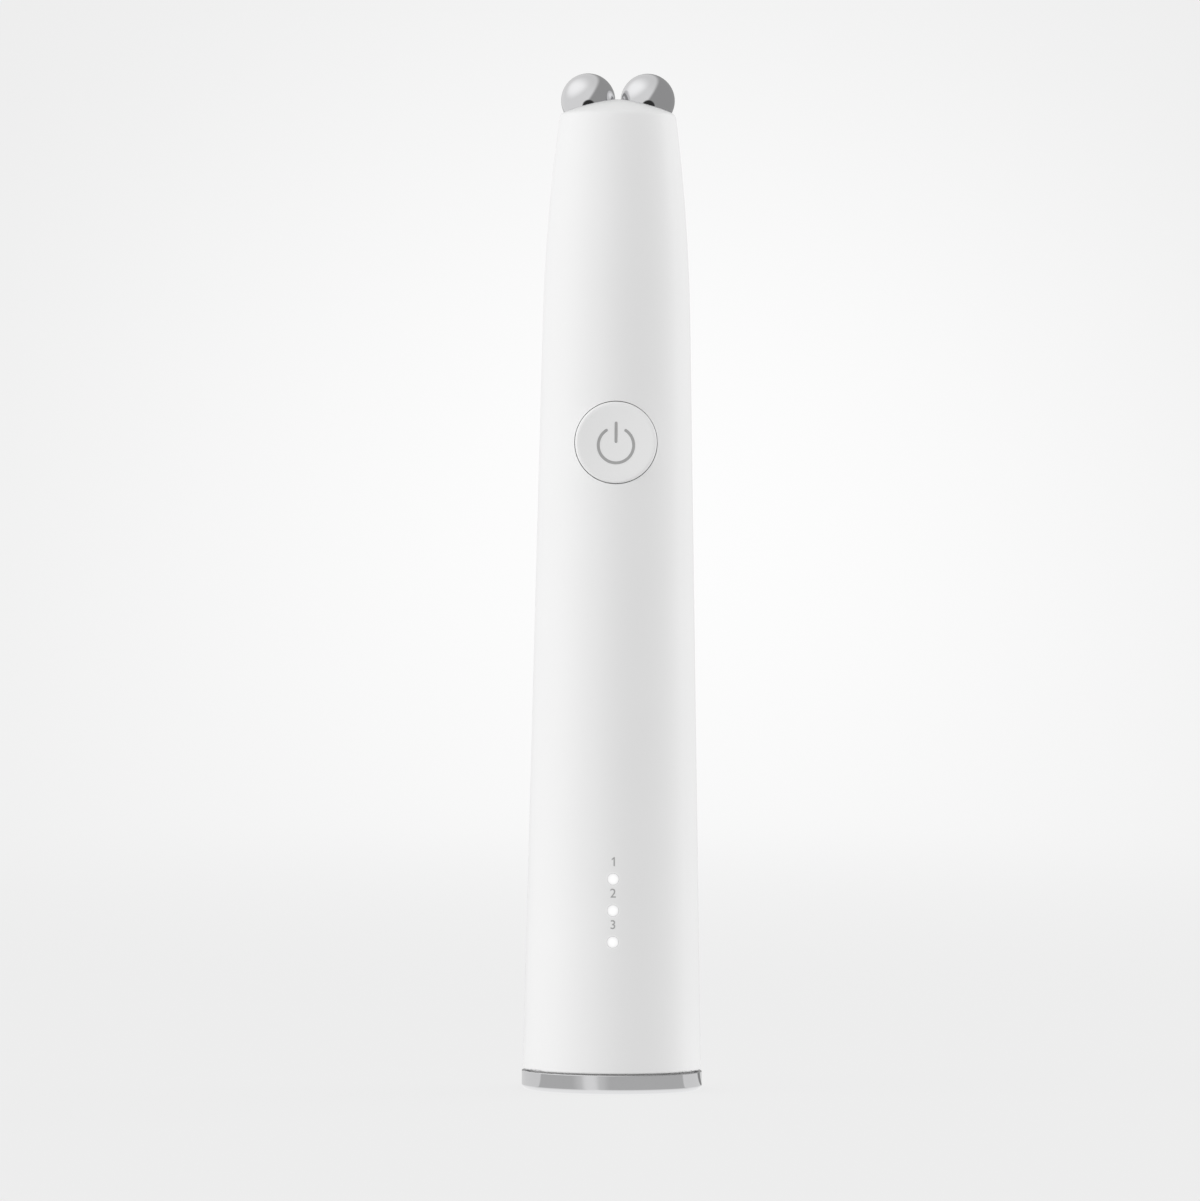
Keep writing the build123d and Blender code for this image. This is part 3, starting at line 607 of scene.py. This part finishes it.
def print_marks():
    """The power symbol on the button and a numeral over each lamp, from the top down."""
    material = ink()
    low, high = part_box("power_button")
    x = (low.x + high.x) / 2
    z = (low.z + high.z) / 2 - SYMBOL_DROP
    symbol = filled("power_symbol", power_symbol(x, z))
    print_mark("power_symbol", symbol, "power_button", "button", material)
    for n, (x, z) in enumerate(reversed(lamp_places()), 1):
        name = f"mode_numeral_{n}"
        numeral = numeral_mesh(name, n, x, z + NUMERAL_RISE)
        print_mark(name, numeral, "front_shell", "wand", material)


# ---- studio --------------------------------------------------------------------------------
def towards(azimuth, elevation):
    """The unit vector of a direction, in degrees."""
    a = radians(azimuth)
    e = radians(elevation)
    return Vector((sin(a) * cos(e), -cos(a) * cos(e), sin(e)))


def bowl_profile():
    """Floor, bend, wall and dome of the studio round the object, from the middle out and up."""
    wall_radius = FLOOR_RADIUS + BEND_RADIUS
    dome_z = BEND_RADIUS + WALL_HEIGHT
    turns = [pi / 2 * n / BEND_STEPS for n in range(BEND_STEPS + 1)]
    bend = [(FLOOR_RADIUS + BEND_RADIUS * sin(turn), BEND_RADIUS * (1 - cos(turn))) for turn in turns]
    dome = [(wall_radius * cos(turn), dome_z + wall_radius * sin(turn)) for turn in turns[:-1]]
    return [(0.0, 0.0)] + bend + dome + [(0.0, dome_z + wall_radius)]


def studio_seen(shader, place):
    """The pale backdrop with a painted glow, brightest behind the wand, and a share that takes the wand's
    shadow.
    """
    away = shader.vector("MULTIPLY", shader.vector("SUBTRACT", place, GLOW_CENTRE), GLOW_SQUASH)
    away = shader.vector("LENGTH", away)
    tone = shader.between(away, BACKDROP_GLOW, BACKDROP_PALE, 0.0, GLOW_REACH, "SMOOTHSTEP")
    shown = shader.add("Emission", {"Strength": tone}).outputs[0]
    lit = shader.add("BsdfDiffuse", {"Color": grey(BACKDROP_PALE)}).outputs[0]
    return shader.add("MixShader", {0: SHADOW_SHARE, 1: shown, 2: lit}).outputs[0]


def patched(shader, place, spot, patches, tone):
    """A tone with soft-edged patches over it, each in its own direction from a spot."""
    away = shader.vector("NORMALIZE", shader.vector("SUBTRACT", place, spot))
    for azimuth, elevation, inner, outer, level in patches.values():
        near = shader.vector("DOT_PRODUCT", away, towards(azimuth, elevation))
        share = shader.between(near, 0.0, 1.0, cos(radians(outer)), cos(radians(inner)), "SMOOTHSTEP")
        tone = shader.add("Mix", {0: share, 2: tone, 3: level}).outputs[0]
    return tone


def studio_reflected(shader, place):
    """Painted reflections: the room as metal sees it, with a painted soft box and dark flag and the floor
    by the foot, seen only by gloss.
    """
    low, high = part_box("left_ball_electrode")
    balls = (0, 0, high.z - (high.x - low.x) / 2)
    room = patched(shader, place, balls, ROOM_REFLECTION_PATCHES, REFLECTED_BASE)
    floor = patched(shader, place, RING_SPOT, FLOOR_REFLECTION_PATCHES, NEAR_FLOOR_TONE)
    away = shader.vector("LENGTH", place)
    foot = shader.between(away, 1.0, 0.0, *FOOT_REACH)
    floor = shader.add("Mix", {0: foot, 2: floor, 3: FOOT_TONE}).outputs[0]
    near = shader.between(away, 1.0, 0.0, *NEAR_FLOOR_REACH)
    tone = shader.add("Mix", {0: near, 2: room, 3: floor}).outputs[0]
    return shader.add("Emission", {"Strength": tone}).outputs[0]


def studio_material():
    """The bowl's inside, as the camera or as gloss sees it. Its outside is clear."""
    material = bpy.data.materials.new("studio")
    shader = Shader(material)
    place = shader.place()
    glossy = shader.add("LightPath").outputs["Is Glossy Ray"]
    inside = shader.add("MixShader", {
        0: glossy, 1: studio_seen(shader, place), 2: studio_reflected(shader, place),
    }).outputs[0]
    outside = shader.add("BsdfTransparent").outputs[0]
    backfacing = shader.add("NewGeometry").outputs["Backfacing"]
    shader.finish(shader.add("MixShader", {0: backfacing, 1: inside, 2: outside}).outputs[0])
    return material


def make_studio():
    """A closed bowl round the wand, which lets the studio lights and the light of the air in."""
    bowl = revolved("studio_bowl", bowl_profile()[::-1], BOWL_STEPS)
    bowl.data.materials.append(studio_material())
    bowl.visible_diffuse = False
    bowl.visible_shadow = False


def make_light(name, azimuth, elevation, power):
    """A large square light that faces the middle of the wand."""
    data = bpy.data.lights.new(name, "AREA")
    data.size = LIGHT_SIZE
    data.energy = power
    light = in_scene(name, data)
    away = towards(azimuth, elevation)
    light.location = (cad_box[0] + cad_box[1]) / 2 + away * LIGHT_DISTANCE
    light.rotation_euler = away.to_track_quat("Z", "Y").to_euler()
    light.visible_glossy = False


def make_air():
    """Soft light from all round, a little more of it from above than off the floor."""
    world = bpy.data.worlds.new("studio_air")
    bpy.context.scene.world = world
    shader = Shader(world)
    height = shader.add("SeparateXYZ", {0: shader.add("TexCoord").outputs["Generated"]}).outputs["Z"]
    tone = shader.between(height, *AIR_TONES, *AIR_BLEND, "SMOOTHSTEP")
    air = shader.add("Background", {"Color": grey(1.0), "Strength": tone}).outputs[0]
    shader.add("OutputWorld", {"Surface": air})


def make_camera():
    """A level camera, rolled so that the wand leans as in the photograph."""
    middle_row = IMAGE_SIZE[1] / 2
    lean = (AXIS_HIGH[0] - AXIS_LOW[0]) / (AXIS_LOW[1] - AXIS_HIGH[1])
    axis_column = AXIS_LOW[0] + lean * (AXIS_LOW[1] - middle_row)
    data = bpy.data.cameras.new("camera")
    data.sensor_width = SENSOR_WIDTH
    data.lens = SENSOR_WIDTH * CAMERA_DISTANCE / (PIXEL * max(IMAGE_SIZE))
    camera = in_scene("camera", data)
    side = (IMAGE_SIZE[0] / 2 - axis_column) * PIXEL
    rise = (BASE_ROW - middle_row) * PIXEL
    camera.location = (side, -CAMERA_DISTANCE, rise)
    camera.rotation_euler = (pi / 2, -atan(lean), 0)
    bpy.context.scene.camera = camera


# ---- making --------------------------------------------------------------------------------
make_camera()
make_studio()
make_air()
make_light("left_light", *LEFT_LIGHT)
make_light("right_light", *RIGHT_LIGHT)
shade_as_turned(["front_shell", "rear_shell"])
shade_as_turned(["base_ring"])
dress_nodes()
print_marks()
bpy.context.scene.view_settings.view_transform = "Standard"
